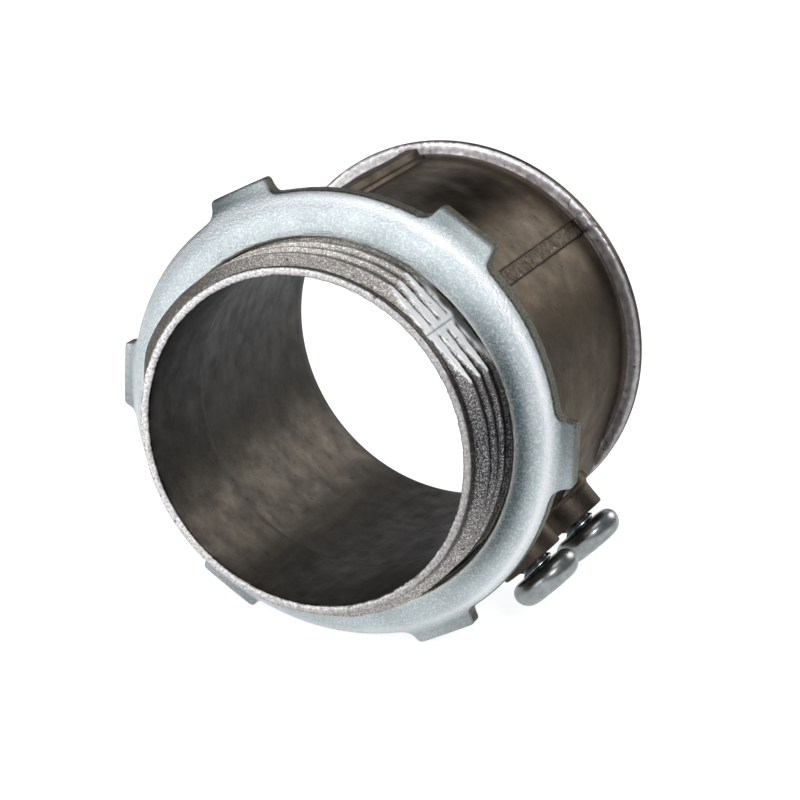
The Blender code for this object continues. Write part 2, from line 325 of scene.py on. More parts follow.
def thread_wander(turn):
    """How far the cast ridge strays along the axis, by turns from its start."""
    return THREAD_SHAKE * ripple(3, turn * 9) + 0.5 * THREAD_SHAKE * ripple(4, turn * 37)


def thread_radius(turn, offset):
    """The ridge grows at the thread's start and fades at its end. Its crest is worn unevenly."""
    grown = smooth_step(0, 0.07, turn) * (1 - smooth_step(THREAD_TURNS - 0.2, THREAD_TURNS, turn))
    slope = (RIDGE_HALF - np.abs(offset)) / (RIDGE_HALF - CREST_HALF)
    height = np.clip(slope, 0, 1) * (CREST_RADIUS - ROOT_RADIUS)
    worn = 0.06 * (0.5 + 0.5 * ripple(5, turn * 23, waves=9)) * smooth_step(0.6, 1.1, height)
    return ROOT_RADIUS + grown * (height - worn)


def flat_plane(away):
    """The flat's distance from the axis at an angle away from the parting line."""
    return FLAT_DISTANCE / np.cos(np.radians(np.where(np.abs(away) < FLAT_SIDE, away, 0)))


def flatten(radius, angle, axial):
    """The two flats of the thread at the parting line. Their grooves die out beside the line."""
    for centre in PARTING_ANGLES:
        away = turned(angle - centre)
        plane = flat_plane(away)
        groove = plane - 0.03 - 0.12 * smooth_step(0.8, 3.5, np.abs(away))
        inside = (np.abs(away) < FLAT_SIDE) & (axial < THREAD_END)
        radius = np.where(inside, np.minimum(radius, plane), radius)
        fill = inside & (np.abs(away) < FLAT_FILLED) & (axial > 0.9)
        radius = np.where(fill, np.maximum(radius, groove), radius)
        line = np.exp(-(away / 0.35) ** 2) * 0.05
        radius = np.where(inside, radius - line, radius)
    return radius


def thread_rows(angles):
    """Rows that follow the helix, so that crests and valleys stay crisp."""
    half = [0.1, CREST_HALF, 0.27, 0.36, 0.5, 0.7, RIDGE_HALF, 0.97]
    offsets = [-PITCH / 2] + [-place for place in reversed(half)] + [0.0] + half
    part = (180 - angles) / 360
    rows = []
    for crest in range(-1, math.ceil(THREAD_TURNS) + 1):
        for offset in offsets:
            turn = crest + part
            axial = THREAD_FIRST + PITCH * turn + offset + thread_wander(turn)
            radius = thread_radius(turn, offset)
            clipped = np.clip(axial, THREAD_LOW, THREAD_HIGH)
            neck = ROOT_RADIUS + (NECK_RADIUS - ROOT_RADIUS) * smooth_step(11.7, 12.5, clipped)
            # Rows pushed together at an end all take the end's own radius.
            radius = np.where(axial <= THREAD_LOW, ROOT_RADIUS, radius)
            radius = np.where(axial >= THREAD_HIGH, neck, np.maximum(radius, neck))
            rows.append((flatten(radius, angles, clipped), clipped))
    return rows


def saddle_radius(angles):
    """The fairing under the bosses: a flat top that runs down to the barrel on both sides."""
    away = np.abs(turned(angles - SCREW_ANGLE))
    near = away < SADDLE_HALF_ANGLE
    away = np.where(near, away, 0)
    top = SADDLE_TOP / np.cos(np.radians(away))
    side = BARREL_RADIUS / np.cos(np.radians(SADDLE_HALF_ANGLE - away))
    lower = -SADDLE_SOFT * np.log(np.exp(-top / SADDLE_SOFT) + np.exp(-side / SADDLE_SOFT))
    return np.where(near, np.maximum(lower, BARREL_RADIUS), BARREL_RADIUS)


def barrel_radius(angles, axial):
    """The barrel with its fairing, parting strips and ribs, at one axial place."""
    radius = saddle_radius(angles)
    for centre in RIB_ANGLES:
        across = across_barrel(angles, centre)
        step = RIB_STEP * plateau(across, RIB_HALF, 0.15)
        crown = (RIB_HEIGHT - RIB_STEP) * plateau(across, RIB_CROWN_HALF, 0.28)
        radius = np.maximum(radius, BARREL_RADIUS + step + crown)
    for centre in PARTING_ANGLES:
        across = across_barrel(angles, centre)
        strip = STRIP_HEIGHT * plateau(across, STRIP_HALF, STRIP_SOFT)
        gutter = GUTTER_DEPTH * np.exp(-((np.abs(across) - STRIP_HALF - 0.12) / 0.09) ** 2)
        radius = np.maximum(radius, BARREL_RADIUS + strip) - gutter
    return radius + 0.01 * ring_ripple(8, angles, 14, axial / 14)


def cast_roughness(angles):
    """How far the cast edges at both ends are out of round."""
    return 0.05 * ring_ripple(11, angles, 170) + 0.03 * ring_ripple(12, angles, 50)


def plain_rows(angles, places):
    """Round rows from (axial, radius) or (axial, radius, share of the cast roughness)."""
    rows = []
    for axial, radius, *shake in places:
        rough = sum(shake) * cast_roughness(angles)
        rows.append((radius + rough, np.full_like(angles, axial)))
    return rows


def barrel_rows(angles, places):
    """Rows with the barrel's features, from (axial, least radius)."""
    return [
        (np.maximum(radius, barrel_radius(angles, axial)), np.full_like(angles, axial))
        for axial, radius in places
    ]


def shoulder_rows(angles):
    """The neck behind the thread, the shoulder and the fillet down to the barrel."""
    rows = plain_rows(angles, [
        (12.5, NECK_RADIUS), (13.4, NECK_RADIUS), (SHOULDER_FRONT, NECK_RADIUS),
        (SHOULDER_FRONT, SHOULDER_RADIUS - 0.15), (SHOULDER_FRONT + 0.08, SHOULDER_RADIUS),
        (SHOULDER_BACK - 0.2, SHOULDER_RADIUS), (SHOULDER_BACK - 0.06, SHOULDER_RADIUS - 0.06),
    ])
    return rows + barrel_rows(angles, [
        (SHOULDER_BACK, SHOULDER_RADIUS - 0.2), (SHOULDER_BACK, 22.4), (SHOULDER_BACK, 21.95),
        (15.36, 21.65), (15.52, 21.4), (15.8, 21.22), (16.2, 0),
    ])


def flange_rows(angles):
    """The flange: an uneven front face that carries the strips' ends, a rounded edge and a flat back."""
    raised = sum(
        plateau(across_barrel(angles, centre), STRIP_HALF, STRIP_SOFT) for centre in PARTING_ANGLES
    )
    face = FLANGE_FRONT - 0.12 * raised + 0.035 * ring_ripple(14, angles, 120)
    floor = np.minimum(barrel_radius(angles, FLANGE_FRONT), 22.9)
    edge = 0.08 * ring_ripple(13, angles, 150)
    widest = FLANGE_RADIUS - 0.01
    rows = []
    for step, radius in enumerate((21.8, 22.2, 22.55)):
        rows.append((np.maximum(radius, floor + 0.015 * step), face))
    for step, (radius, share) in enumerate(((22.72, 0.07), (22.88, 0.27), (22.99, 0.58), (widest, 1.0))):
        reach = np.maximum(radius + edge * (1 - share), floor + 0.05 + 0.02 * step)
        axial = face * (1 - share) + (FLANGE_FRONT + FLANGE_ROUND) * share
        rows.append((np.minimum(reach, widest), axial))
    rows.extend(plain_rows(angles, [
        (42.7, FLANGE_RADIUS), (42.95, FLANGE_RADIUS - 0.02), (43.1, FLANGE_RADIUS - 0.1),
        (43.17, FLANGE_RADIUS - 0.2),
    ]))
    back = (22.7, 22.2, 21.6, 21.0, 20.78)
    return rows + plain_rows(angles, [(BODY_LENGTH, radius, 0.5) for radius in back])


def bore_rows(angles):
    """The socket's mouth and tapering wall, the conduit stop, the throat and the spigot's rim."""
    rows = plain_rows(angles, [
        (43.15, 20.66), (43.0, 20.52), (42.7, 20.26), (42.45, 20.06), (SOCKET_END_AXIAL, SOCKET_END_RADIUS),
    ])
    for share in np.linspace(0.04, 0.98, 16):
        axial = SOCKET_END_AXIAL + (STOP_AXIAL - SOCKET_END_AXIAL) * share
        radius = SOCKET_END_RADIUS + (SOCKET_STOP_RADIUS - SOCKET_END_RADIUS) * share
        wave = 0.012 * ring_ripple(15, angles, 12, axial / 9)
        rows.append((radius + wave, np.full_like(angles, axial)))
    rows.extend(plain_rows(angles, [
        (13.25, SOCKET_STOP_RADIUS), (13.14, 19.3), (STOP_AXIAL, 19.2), (STOP_AXIAL, 18.8),
        (STOP_AXIAL, 18.45), (13.06, 18.38), (12.96, THROAT_RADIUS),
    ]))
    for axial in np.linspace(12, 0.6, 12):
        wave = 0.015 * ring_ripple(16, angles, 20, axial / 6)
        rows.append((THROAT_RADIUS + wave, np.full_like(angles, axial)))
    rows.extend(plain_rows(angles, [(0.34, 18.37, -0.3), (0.19, 18.43, -0.9), (0.08, 18.53, -1.3)]))
    for seed, radius in ((186, 18.68), (188, 18.82), (189, 18.96)):
        wave = 0.02 * ring_ripple(seed, angles, 170)
        rows.append((radius + 0.3 * cast_roughness(angles), np.maximum(0.02 + wave, 0.002)))
    return rows


def body_rows(angles):
    """Every row of the body: out along the spigot and barrel, and back through the bore."""
    rows = plain_rows(angles, [(0.03, 19.08, 1.2), (0.1, 19.19, 0.8), (0.2, 19.27, 0.4)])
    rows.extend(thread_rows(angles))
    rows.extend(shoulder_rows(angles))
    rows.extend(barrel_rows(angles, [(axial, 0) for axial in np.linspace(17, 40.6, 22)]))
    rows.extend(barrel_rows(angles, [(41.1, 0), (41.4, 21.2), (41.65, 21.32), (41.8, 21.46), (41.88, 21.6)]))
    rows.extend(flange_rows(angles))
    rows.extend(bore_rows(angles))
    return rows


def radial_points(local, axial):
    """Turns local Z to point outward at the screws' angle, and local Y to run along the axis."""
    slant = math.radians(SCREW_ANGLE)
    outward = np.array([math.cos(slant), 0, math.sin(slant)])
    side = np.array([math.sin(slant), 0, -math.cos(slant)])
    along = np.array([0, 1, 0])
    base = np.array([0, FRONT_Y + axial, AXIS_HEIGHT])
    points = base + local[..., :1] * side + local[..., 1:2] * along + local[..., 2:3] * outward
    return points * MM


def lathe(name, profile, axial, segments):
    """A solid turned about a screw's own axis. The profile holds (radius, distance from the axis)."""
    angles = np.linspace(0, 2 * math.pi, segments + 1)
    radius, height = (np.array(column)[:, None] for column in zip(*profile))
    local = np.stack([radius * np.cos(angles), radius * np.sin(angles), height + 0 * angles], -1)
    return grid_object(name, radial_points(local, axial))


def boss_profile():
    """A boss with a fillet at its foot and a rounded top edge. It starts inside the barrel's wall."""
    return [
        (0, 20.4), (4.4, 20.4), (4.4, 22.75), (4.22, 22.84), (4.05, 22.98), (3.94, 23.2),
        (BOSS_RADIUS, 23.5), (BOSS_RADIUS, 25.7), (3.87, 25.8), (3.8, 25.87), (3.7, BOSS_TOP),
        (0, BOSS_TOP),
    ]


def hole_profile():
    """A screw hole through the boss and the wall, with a chamfered mouth."""
    return [
        (0, 18), (HOLE_RADIUS, 18), (HOLE_RADIUS, 25.65), (HOLE_MOUTH_RADIUS, 26.0),
        (HOLE_MOUTH_RADIUS, 27), (0, 27),
    ]


def make_body():
    angles = body_angles()
    radius, axial = (np.stack(column) for column in zip(*body_rows(angles)))
    body = grid_object("body_casting", stand(radius, angles[None, :], axial), wrap_rows=True)
    for name, place in SCREWS.items():
        cut(body, lathe("boss_" + name, boss_profile(), place, 72), "UNION", "MANIFOLD")
        cut(body, lathe("hole_" + name, hole_profile(), place, 48), "DIFFERENCE", "MANIFOLD")
    smooth(body)
    mask_body(body)
    return body


def dull_share(angle):
    """The thread is duller at the right: painted shade."""
    return np.exp(-(turned(angle - 5) / 34) ** 2)


def flat_masks(radius, angle, axial):
    """What the flats leave of the crests, and masks for their face, parting line, shaded inner part and
    the fading of the grooves beside the line.
    """
    top = np.full_like(radius, CREST_RADIUS)
    flat = np.zeros_like(radius)
    line = np.zeros_like(radius)
    under = np.zeros_like(radius)
    fade = np.ones_like(radius)
    for centre in PARTING_ANGLES:
        away = turned(angle - centre)
        off = np.abs(away)
        near = off < 18.5
        plane = flat_plane(away)
        top = np.where(near, np.minimum(top, plane), top)
        flat = np.where(near, 1 - smooth_step(0.03, 0.14, plane - radius), flat)
        line = np.maximum(line, np.exp(-(away / 0.3) ** 2))
        # Painted shadow of the nut on the flats' inner part.
        inner = smooth_step(7.2, 8.4, axial + 0.35 * ripple(22, angle / 9))
        under = np.maximum(under, inner * (1 - smooth_step(9, 17, off)))
        fade = fade * (0.06 + 0.94 * smooth_step(2.5, 11, off))
    return top, flat, line, under, fade


def thread_groove(radius, angle, axial, threaded):
    """The flats' mask, and the darkening: painted shade in the thread's valleys, measured down from the
    local crest, under the nut, on the first turn and on the unthreaded land, and a dark parting line on the
    flats.
    """
    turn = (axial - THREAD_FIRST) / PITCH - (180 - angle) / 360
    top, flat, line, under, fade = flat_masks(radius, angle, axial)
    # Painted shade in the valleys. It reaches higher on the dull right side and dies out beside the parting
    # line.
    depth = (top - radius) / (top - ROOT_RADIUS)
    shallow = smooth_step(0.1, 1.05, CREST_RADIUS - top)
    begin = 0.44 - 0.11 * dull_share(angle) + 0.27 * shallow
    valley = smooth_step(begin - 0.1, begin + 0.1, depth) * (turn > 0.2) * fade
    groove = np.maximum(np.maximum(valley, 0.7 * line * flat), 0.9 * under)
    groove = np.where(threaded, groove, 0)
    # Painted shade on the first turn, growing towards the top and the left, and on the unthreaded land.
    first = 0.45 * smooth_step(52, 85, angle) + 0.35 * smooth_step(108, 135, angle)
    first = first * threaded * (turn < 0.1)
    land = (turn < -0.38) & threaded & (flat < 0.5)
    return flat, np.where(land, 0.6, np.maximum(groove, first))


def barrel_groove(angle):
    """Darker along both sides of the parting strips and on the ribs."""
    groove = np.zeros_like(angle)
    for centre in PARTING_ANGLES:
        edge = (np.abs(across_barrel(angle, centre)) - STRIP_HALF) / 0.17
        groove = np.maximum(groove, 0.6 * np.exp(-edge ** 2))
    for centre in RIB_ANGLES:
        groove = np.maximum(groove, 0.35 * plateau(across_barrel(angle, centre), RIB_HALF, 0.2))
    return groove


def strip_share(angle):
    """1 on the parting strips."""
    strip = np.zeros_like(angle)
    for centre in PARTING_ANGLES:
        strip = np.maximum(strip, 1 - smooth_step(0.8, 1.0, np.abs(across_barrel(angle, centre))))
    return strip


def dark_reflection_share(angle, axial):
    """A painted dark reflection on the barrel, near the flange and above the nut's upper lugs."""
    dark_reflection = smooth_step(60, 70, angle) * (1 - smooth_step(80, 94, angle))
    dark_reflection = dark_reflection * smooth_step(18, 26, axial) * (1 - smooth_step(37.5, 41, axial))
    return dark_reflection * (0.86 + 0.2 * ring_ripple(23, angle, 40, axial / 4))


def mask_body(body):
    """Masks for the shader. Each names a region, or a share of stains, wear, or painted light and shade."""
    radius, angle, axial = places_of(body)
    threaded = (radius > 19.0) & (radius < 20.6) & (axial > 0.2) & (axial < THREAD_END)
    lip = (np.abs(axial - 0.25) < 0.1) & (radius > 19)
    rim = (axial < 0.2) & (radius > 18.2)
    barrel = (radius > 20.9) & (axial > 15.2) & (axial < FLANGE_FRONT + 0.05)
    face = (np.abs(axial - FLANGE_FRONT) < 0.35) & (radius > 21.62)
    bore = (radius < 20.15) & ~threaded & ~rim | (axial > 42.2) & (radius < 20.7)
    flat, groove = thread_groove(radius, angle, axial, threaded)
    # Painted shade in the crease behind the spigot's rim.
    groove = np.where(lip, 0.75, groove)
    groove = np.where(barrel, np.maximum(groove, barrel_groove(angle)), groove)
    # Painted shade on the ledge of the conduit stop.
    groove = np.where(bore & (np.abs(axial - STOP_AXIAL) < 0.2), 0.75, groove)
    rubbed = 0.68 - 0.22 * np.cos(np.radians(angle + 12))
    # The flange face is pale; painted light makes it paler at the top than at the right.
    pearl = 0.42 + 0.44 * smooth_step(30, 60, angle) - 0.2 * smooth_step(96, 114, angle)
    # The bore is lighter low down: painted light.
    low = smooth_step(-0.35, 1.0, np.cos(np.radians(angle + 88)))
    stain_and_shading = smooth_step(-0.5, 1.2, ring_ripple(21, angle, 9, axial / 22))
    # On the thread the share is painted shade that makes its right side duller.
    stain_and_shading = np.where(threaded, dull_share(angle), stain_and_shading)
    scuffed = smooth_step(0.55, 0.95, np.cos(np.radians(angle + 72)))
    set_mask(body, "thread", threaded * 1.0)
    set_mask(body, "flat", threaded * flat)
    set_mask(body, "groove", groove)
    set_mask(body, "bright", rim * rubbed)
    set_mask(body, "face", face * pearl)
    set_mask(body, "strip", barrel * strip_share(angle))
    # The dark reflection share is painted light: a dark reflection on the barrel.
    set_mask(body, "dark_reflection", barrel * dark_reflection_share(angle, axial))
    set_mask(body, "bore", bore * 1.0)
    set_mask(body, "scuffed", bore * scuffed)
    set_mask(body, "stain_and_shading", np.where(bore, low, stain_and_shading))


# ---------------------------------------------------------------- locknut

def nut_outline():
    """Angles in degrees and the ring's reach at each: a circle with six square-ended lugs."""
    corner = math.degrees(math.atan2(LUG_HALF, LUG_TIP))
    angles = []
    reach = []
    for number in range(LUG_COUNT):
        centre = 360 * number / LUG_COUNT
        for place in np.linspace(-1, 1, 13):
            angle = place * (corner - 1.05)
            angles.append(centre + angle)
            reach.append(LUG_TIP / math.cos(math.radians(angle)) - 0.02 * abs(place) ** 6)
        for out, radius in LUG_SIDE:
            for side in (-1, 1):
                angles.append(centre + side * math.degrees(math.atan2(LUG_HALF + out, radius)))
                reach.append(math.hypot(LUG_HALF + out, radius))
        for step in np.linspace(corner + 3.6, 360 / LUG_COUNT - corner - 3.6, 32):
            angles.append(centre + step)
            reach.append(NUT_FOLD)
    order = np.argsort(angles)
    angles = np.array(angles)[order]
    reach = np.array(reach)[order]
    return np.append(angles, angles[0] + 360), np.append(reach, reach[0])


def nut_face(radius):
    """Axial place of the nut's front face: a dish that steepens to a fold, and flattens on the lugs."""
    table = np.linspace(NUT_FACE, LUG_TIP + 0.5, 300)
    slope = 0.33 + 0.68 * smooth_step(22.4, 25.0, table) - 0.81 * smooth_step(25.2, 26.6, table)
    rise = np.concatenate([[0], np.cumsum((slope[1:] + slope[:-1]) / 2 * np.diff(table))])
    return NUT_FACE_AXIAL + np.interp(radius, table, rise)


def tight_at(angle):
    """The ring rests on the thread, so its hole is drawn tighter at the top."""
    return NUT_TIGHTER * smooth_step(0.1, 1, np.sin(np.radians(angle)))


def hole_rows(angles, places):
    """Round rows near the hole, from (radius, axial, share of the tightening)."""
    return [(radius - share * tight_at(angles), axial + 0 * angles) for radius, axial, share in places]


def nut_rows(angles, reach):
    """Every row of the nut: out of the hole, over the front face, round the edge and back behind."""
    rows = hole_rows(angles, [
        (NUT_BORE, 8.9, 0.5), (NUT_BORE, 8.3, 0.5), (NUT_BORE, 7.95, 0.5), (NUT_BORE + 0.04, 7.72, 0.55),
        (NUT_BORE + 0.16, 7.42, 0.75), (NUT_BORE + 0.3, 7.22, 0.9),
        (NUT_FACE, nut_face(NUT_FACE) + 0.04, 1.0), (NUT_FACE + 0.2, nut_face(NUT_FACE + 0.2), 1.0),
    ])
    inner = NUT_FACE + 0.2 - tight_at(angles)
    for share in np.linspace(0.08, 1, 16):
        radius = inner + (reach - 0.4 - inner) * share
        rows.append((radius, nut_face(radius) + 0.012 * ring_ripple(31, angles, 18, radius / 2)))
    for out, back in ((0.28, 0.02), (0.17, 0.08), (0.08, 0.17), (0.02, 0.3), (0.0, 0.46)):
        rows.append((reach - out, nut_face(reach - out) + back))
    shear = 0.03 * ring_ripple(32, angles, 120)
    tip = nut_face(reach)
    for back in (0.75, 1.1, 1.45, 1.7):
        rows.append((reach - 0.03 - np.abs(shear) * back, tip + back))
    rows.append((reach - 0.1, tip + NUT_THICKNESS - 0.05))
    rows.append((reach - 0.25, tip + NUT_THICKNESS - 0.02))
    for share in np.linspace(0.9, 0.12, 8):
        radius = NUT_BORE + (reach - 0.3 - NUT_BORE) * share
        rows.append((radius, nut_face(np.maximum(radius, NUT_FACE)) + NUT_THICKNESS - 0.03))
    return rows + hole_rows(angles, [(NUT_BORE + 0.12, 9.0, 0.5)])


def make_nut():
    angles, reach = nut_outline()
    radius, axial = (np.stack(column) for column in zip(*nut_rows(angles, reach)))
    nut = grid_object("locknut_stamping", stand(radius, angles[None, :], axial), wrap_rows=True)
    smooth(nut, 50)
    mask_nut(nut, angles, reach)
    return nut


def lug_shade_share(radius, angle):
    """How much painted shade greys each lug's face. The side at the smaller angle is paler."""
    tone = np.zeros_like(radius)
    for number, share in enumerate(LUG_SHADES):
        away = turned(angle - 360 * number / LUG_COUNT)
        shaded = 0.55 + 0.45 * smooth_step(-8, 8, away)
        on_lug = (np.abs(away) < 14) * smooth_step(25.1, 25.8, radius)
        tone = np.maximum(tone, share * shaded * on_lug)
    return tone


def mask_nut(nut, angles, reach):
    """Masks for the shader: the sheared edge, the painted dark reflection in the dish, the painted
    highlights on the lip and fold, and the painted shade on the lugs.
    """
    radius, angle, axial = places_of(nut)
    outline = np.interp(angle % 360, angles, reach, period=360)
    sheared = (np.abs(radius - outline) < 0.2) & (axial > nut_face(radius) + 0.4)
    corner = 0.7 * (outline - radius < 0.14) * (outline < 26) + 0.3 * (outline - radius < 0.1)
    front = axial < nut_face(np.maximum(radius, NUT_FACE)) + 0.5
    # Painted dark reflection in the inner dish, strongest at the right, and a little above the hole.
    toward = smooth_step(0.45, 1.0, np.cos(np.radians(angle - 3)))
    dish = (1 - smooth_step(21.9, 24.3, radius)) * (0.14 + 0.86 * toward)
    above = np.exp(-(turned(angle - 72) / 22) ** 2)
    dish = dish + 0.17 * (1 - smooth_step(21.5, 23.3, radius)) * above
    # Painted highlight along the hole's edge.
    lip = np.exp(-((radius - NUT_FACE + tight_at(angle)) / 0.16) ** 2)
    # Painted highlight along the fold, brighter on the lit side.
    crown = np.exp(-((radius - FOLD_CROWN) / 0.42) ** 2)
    lit = 0.35 + 0.65 * smooth_step(-0.5, 0.6, np.cos(np.radians(angle - 30)))
    set_mask(nut, "edge", np.where(sheared, 1.0, corner))
    set_mask(nut, "dish", front * dish)
    set_mask(nut, "lip", front * lip)
    set_mask(nut, "lug", lug_shade_share(radius, angle))
    set_mask(nut, "fold", front * crown * lit)


# ---------------------------------------------------------------- set screws

def shank_rows(angles):
    """The screw's own thread, from its point to the underside of its head."""
    rows = []
    offsets = np.array([-0.5, -0.36, -0.2, -0.07, 0.07, 0.2, 0.36]) * SHANK_PITCH
    part = angles / (2 * math.pi)
    turns = int((HEAD_BOTTOM - SCREW_TIP) / SHANK_PITCH) + 3
    for crest in range(-1, turns):
        for offset in offsets:
            height = SCREW_TIP + SHANK_PITCH * (crest + part) + offset
            ridge = np.clip((0.5 * SHANK_PITCH - np.abs(offset)) / (0.42 * SHANK_PITCH), 0, 1)
            radius = SHANK_RADIUS - SHANK_DEPTH * (1 - ridge)
            point = SHANK_RADIUS - TIP_CHAMFER + (height - SCREW_TIP)
            height = np.clip(height, SCREW_TIP, HEAD_BOTTOM)
            radius = np.minimum(radius, np.maximum(point, SHANK_RADIUS - TIP_CHAMFER))
            radius = np.where(height >= HEAD_BOTTOM, SHANK_RADIUS - SHANK_DEPTH, radius)
            radius = np.where(height <= SCREW_TIP, SHANK_RADIUS - TIP_CHAMFER, radius)
            rows.append((radius, height))
    return rows


def head_rows(angles):
    """The pan head: a flat underside, a rounded lower and upper edge, and a slightly domed top."""
    under = HEAD_UNDER_ROUND
    crown = HEAD_CROWN_ROUND
    rows = [(2.4, HEAD_BOTTOM), (2.7, HEAD_BOTTOM)]
    for step in np.linspace(0, 1, 9):
        turn = math.pi / 2 * step
        rows.append((
            HEAD_RADIUS - under + under * math.sin(turn),
            HEAD_BOTTOM + under * (1 - math.cos(turn)),
        ))
    for step in np.linspace(0, 1, 12):
        turn = math.pi / 2 * step
        rows.append((
            HEAD_RADIUS - crown + crown * math.cos(turn),
            HEAD_TOP - HEAD_DOME - crown + crown * math.sin(turn),
        ))
    for radius in (2.1, 1.6, 1.0, 0.4):
        rows.append((radius, HEAD_TOP - HEAD_DOME * (radius / (HEAD_RADIUS - crown)) ** 2))
    rows.append((0, HEAD_TOP))
    return [(radius + 0 * angles, height + 0 * angles) for radius, height in rows]


def recess_cutter(width, length, place):
    """A box through the head's top, as deep as the slot."""
    corners = np.array([
        [x * width / 2, y * length / 2, HEAD_TOP + z * SLOT_DEPTH]
        for z in (-1, 1) for y in (-1, 1) for x in (-1, 1)
    ])
    faces = [(0, 1, 3, 2), (4, 6, 7, 5), (0, 4, 5, 1), (2, 3, 7, 6), (0, 2, 6, 4), (1, 5, 7, 3)]
    return mesh_object("recess", radial_points(corners, place), faces)


def make_screw(name, place):
    angles = np.linspace(0, 2 * math.pi, 73)
    rows = [(0 * angles, SCREW_TIP + 0 * angles)] + shank_rows(angles) + head_rows(angles)
    radius, height = (np.stack(column) for column in zip(*rows))
    local = np.stack([radius * np.cos(angles), radius * np.sin(angles), height], -1)
    screw = grid_object(name + "_turned", radial_points(local, place))
    for width, length in ((SLOT_WIDTH, SLOT_LENGTH), (CROSS_LENGTH, SLOT_WIDTH)):
        cut(screw, recess_cutter(width, length, place), "DIFFERENCE")
    smooth(screw)
    return screw


# ---------------------------------------------------------------- materials

# Colours of the casting. A pair goes from the darker places to the lighter ones.
FILM = ((0.044, 0.036, 0.028), (0.078, 0.066, 0.054))
FILM_STAIN = (0.062, 0.046, 0.031)
FILM_GRAIN = (0.098, 0.082, 0.064)
# A painted dark reflection on the barrel.
PAINTED_DARK_REFLECTION = (0.007, 0.006, 0.005)
# The bore's colours, darker above and lighter below: painted light.
BORE_UPPER_SHADED = ((0.008, 0.0075, 0.0065), (0.022, 0.020, 0.017))
BORE_LOWER_LIT = ((0.040, 0.034, 0.026), (0.078, 0.067, 0.052))
BORE_SCUFF = (0.016, 0.014, 0.011)
STRIP_SKIN = ((0.022, 0.018, 0.013), (0.105, 0.092, 0.076))
STRIP_SPOT = (0.34, 0.33, 0.32)
RIM_SILVER = ((0.42, 0.40, 0.385), (0.96, 0.94, 0.96))
FLANGE_PEARL = ((0.66, 0.63, 0.65), (1.0, 0.97, 0.99))
FLAT_SCRAPED = ((0.76, 0.84, 0.86), (1.0, 1.0, 1.0))
SPECK = (0.012, 0.011, 0.01)
# Painted shade in the thread's valleys and creases, under the nut and on the first turn and land, with
# darker lines by the strips, ribs and parting line.
GROOVE_SHADE = (0.010, 0.009, 0.008)

# The thread's body and its glints, each from the lit side to the dull side.
THREAD_BODY = ((0.30, 0.275, 0.25), (0.045, 0.044, 0.044))
THREAD_GLINT = ((0.92, 0.90, 0.87), (0.56, 0.56, 0.575))

# How much of each colour a surface reflects when it is seen at a slant: on the brown film, on the painted
# dark reflection, and in the bore and on the thread.
FILM_SLANT = (0.84, 0.80, 0.74)
DARK_REFLECTION_SLANT = (0.64, 0.61, 0.58)
METAL_SLANT = (1.0, 1.0, 1.0)

# Colours of the locknut's plating, with its painted dark reflection, highlights and shade.
PLATE = ((0.47, 0.53, 0.545), (0.60, 0.665, 0.68))
PLATE_GLINT = (0.93, 0.97, 1.0)
PLATE_DISH_REFLECTION = (0.022, 0.045, 0.050)
PLATE_FOLD_HIGHLIGHT = (0.97, 0.98, 1.0)
PLATE_LUG_SHADE = (0.10, 0.122, 0.12)
PLATE_LIP_HIGHLIGHT = (0.93, 0.93, 0.86)
SHEARED_STEEL = ((0.036, 0.036, 0.026), (0.135, 0.135, 0.105))

SCREW_PLATE = ((0.22, 0.24, 0.24), (0.42, 0.44, 0.445))


def add_node(tree, kind, inputs=None, **settings):
    made = tree.nodes.new(kind)
    for name, value in settings.items():
        setattr(made, name, value)
    for name, value in (inputs or {}).items():
        if isinstance(value, bpy.types.NodeSocket):
            tree.links.new(value, made.inputs[name])
        else:
            made.inputs[name].default_value = value
    return made


def mix(tree, share, first, second):
    """A colour between two, each a socket or an (r, g, b)."""
    made = tree.nodes.new("ShaderNodeMix")
    made.data_type = "RGBA"
    tree.links.new(share, made.inputs[0])
    for slot, value in ((6, first), (7, second)):
        if isinstance(value, bpy.types.NodeSocket):
            tree.links.new(value, made.inputs[slot])
        else:
            made.inputs[slot].default_value = (*value, 1)
    return made.outputs[2]


def maths(tree, operation, first, second):
    made = tree.nodes.new("ShaderNodeMath")
    made.operation = operation
    for slot, value in enumerate((first, second)):
        if isinstance(value, bpy.types.NodeSocket):
            tree.links.new(value, made.inputs[slot])
        else:
            made.inputs[slot].default_value = value
    return made.outputs[0]


def times(tree, first, second):
    return maths(tree, "MULTIPLY", first, second)


def noise(tree, place, millimetres, detail=3.0, roughness=0.6):
    """Noise whose blobs are about this many millimetres across."""
    inputs = {"Vector": place, "Scale": 1 / (millimetres * MM), "Detail": detail, "Roughness": roughness}
    return add_node(tree, "ShaderNodeTexNoise", inputs).outputs["Fac"]


def stretched(tree, place, scale):
    """The place with each axis scaled. Noise in it is long where the scale is small."""
    return add_node(tree, "ShaderNodeMapping", {"Vector": place, "Scale": scale}).outputs[0]


def ramp(tree, value, low, high, to_low=0.0, to_high=1.0):
    inputs = {"Value": value, "From Min": low, "From Max": high, "To Min": to_low, "To Max": to_high}
    return add_node(tree, "ShaderNodeMapRange", inputs).outputs[0]


def mask(tree, name):
    return add_node(tree, "ShaderNodeAttribute", attribute_name=name).outputs["Fac"]


def new_material(name):
    material = bpy.data.materials.new(name)
    material.use_nodes = True
    tree = material.node_tree
    shader = tree.nodes["Principled BSDF"]
    shader.inputs["Metallic"].default_value = 1.0
    place = add_node(tree, "ShaderNodeTexCoord").outputs["Object"]
    return material, tree, shader, place


def bump(tree, height, millimetres, strength, below=None):
    inputs = {"Height": height, "Distance": millimetres * MM, "Strength": strength}
    if below is not None:
        inputs["Normal"] = below
    return add_node(tree, "ShaderNodeBump", inputs).outputs["Normal"]


